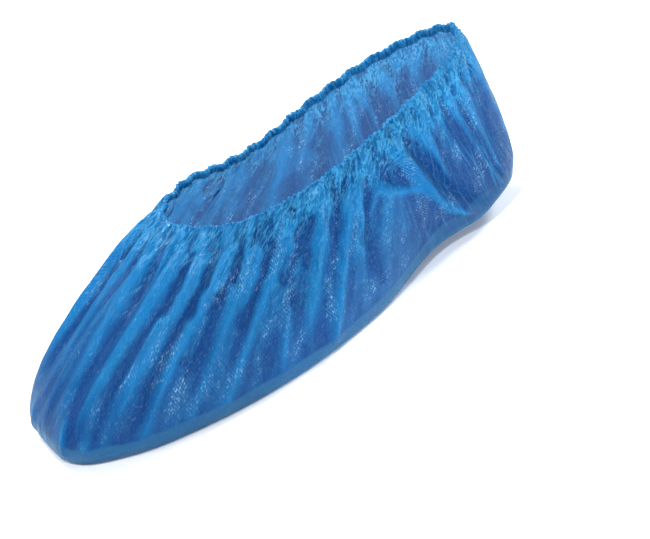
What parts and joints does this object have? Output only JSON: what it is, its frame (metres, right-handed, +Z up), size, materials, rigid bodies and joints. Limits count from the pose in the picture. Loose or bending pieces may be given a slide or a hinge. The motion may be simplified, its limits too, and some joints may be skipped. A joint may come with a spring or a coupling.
{
  "type": "disposable shoe cover",
  "caption": "Thin blue plastic film shoe cover, gathered round its ankle opening by an elastic in a folded hem, with radiating folds and a closed sole.",
  "frame": {"origin": "middle of the sole's inner face, where the foot stands", "axes": "+Z up out of the opening, -Y to the toe, +Y to the heel"},
  "size_m": [0.1207, 0.2941, 0.1047],
  "materials": {
    "blue_film": "thin embossed translucent film, semi gloss",
    "white_elastic": "flat woven elastic"
  },
  "bodies": {
    "root": {"film_cover": "blue_film", "elastic_band": "white_elastic"}
  },
  "joints": []
}
